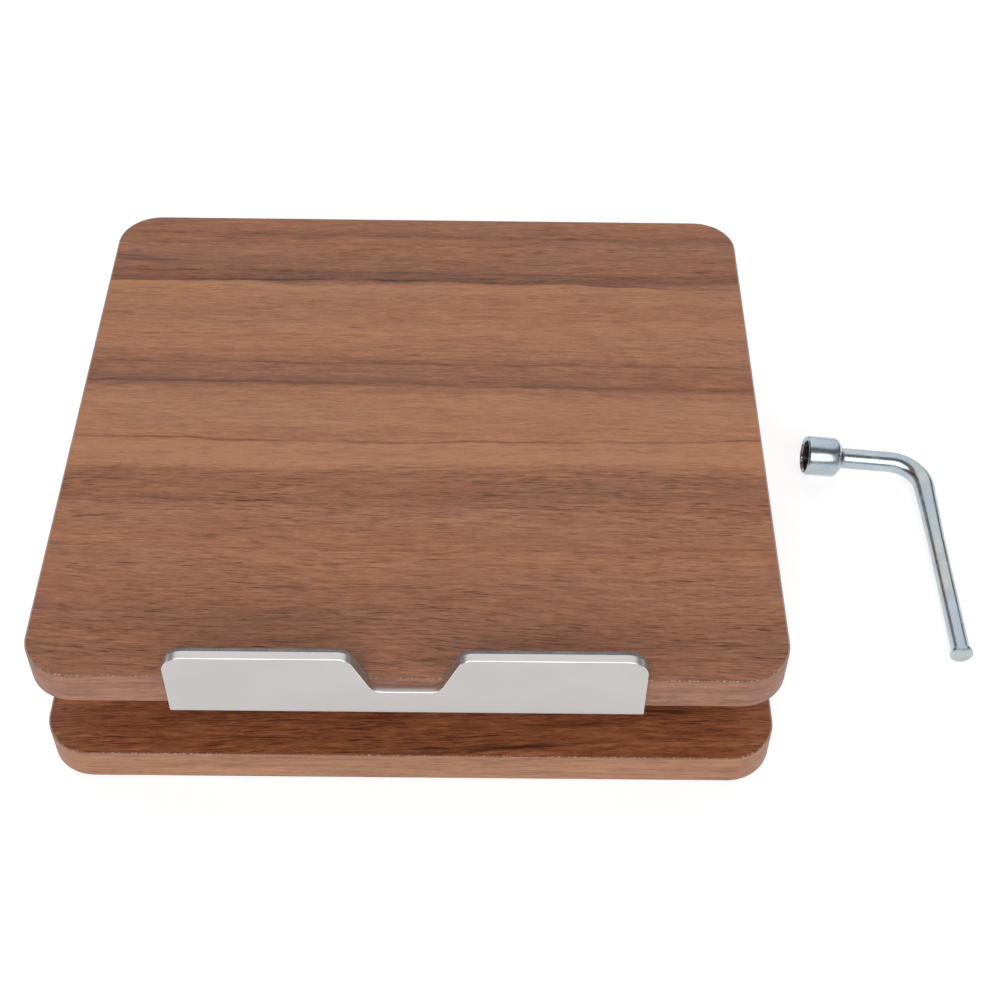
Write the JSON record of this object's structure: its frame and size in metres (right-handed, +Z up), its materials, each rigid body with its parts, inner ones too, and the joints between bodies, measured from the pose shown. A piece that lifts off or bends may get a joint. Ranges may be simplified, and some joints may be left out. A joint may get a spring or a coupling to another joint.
{
  "type": "photo album stand",
  "caption": "Folding tabletop stand: base board and tray board with a notched metal stop lip, joined by two hinged steel arms, with a separate L-shaped socket wrench.",
  "frame": {"origin": "on the desk, under the middle of the base board, in the plane the rubber feet stand on", "axes": "+X to the right, +Y to the back, +Z up; the stop plate faces -Y"},
  "size_m": [0.3686, 0.2644, 0.0822],
  "materials": {
    "walnut_laminate": "satin walnut-look laminate, grain along X",
    "satin_aluminium": "satin, with bright chamfered edges",
    "bracket_steel": "zinc-nickel satin",
    "spring_steel": "plain",
    "zinc_plated_steel": "bright zinc plate",
    "pad_foam": "fine dark grey foam",
    "nylon": "natural nylon",
    "rubber": "matte"
  },
  "bodies": {
    "base": {"base_board": "walnut_laminate", "foot_front_left": "rubber", "foot_front_right": "rubber", "foot_rear_left": "rubber", "foot_rear_right": "rubber", "base_bracket_left": "bracket_steel", "base_bracket_right": "bracket_steel", "base_bracket_screws": "zinc_plated_steel", "base_hinge_bolts": "zinc_plated_steel", "base_lock_nuts": "zinc_plated_steel", "base_friction_washers": "nylon", "base_flat_washers": "zinc_plated_steel", "base_disc_springs": "spring_steel"},
    "arms": {"arm_left": "bracket_steel", "arm_right": "bracket_steel", "cross_tube": "bracket_steel", "cross_tube_screws": "zinc_plated_steel"},
    "tray_hinge": {"tray_hinge_bolts": "zinc_plated_steel", "tray_lock_nuts": "zinc_plated_steel", "tray_friction_washers": "nylon", "tray_flat_washers": "zinc_plated_steel", "tray_disc_springs": "spring_steel"},
    "tray": {"tray_board": "walnut_laminate", "stop_plate": "satin_aluminium", "stop_plate_screws": "zinc_plated_steel", "lip_pads": "pad_foam", "tray_bracket_left": "bracket_steel", "tray_bracket_right": "bracket_steel", "tray_bracket_screws": "zinc_plated_steel"},
    "wrench": {"socket_wrench": "zinc_plated_steel"}
  },
  "joints": [
    {"name": "arm_lift", "type": "hinge", "parent": "base", "child": "arms", "pos_m": [0, 0.0805, 0.03425], "axis": [-1, 0, 0], "range_deg": [0, 100]},
    {"name": "tray_follow", "type": "hinge", "parent": "arms", "child": "tray_hinge", "pos_m": [0, -0.0655, 0.03425], "axis": [1, 0, 0], "range_deg": [0, 140]},
    {"name": "tray_tilt", "type": "hinge", "parent": "tray_hinge", "child": "tray", "pos_m": [0, -0.0655, 0.03425], "axis": [1, 0, 0], "range_deg": [0, 25]},
    {"name": "wrench_lift", "type": "slide", "parent": "base", "child": "wrench", "axis": [0, 0, 1], "range_m": [0, 0.12]}
  ],
  "couplings": [
    {"joint": "tray_follow", "follows": "arm_lift", "ratio": 1.4}
  ]
}
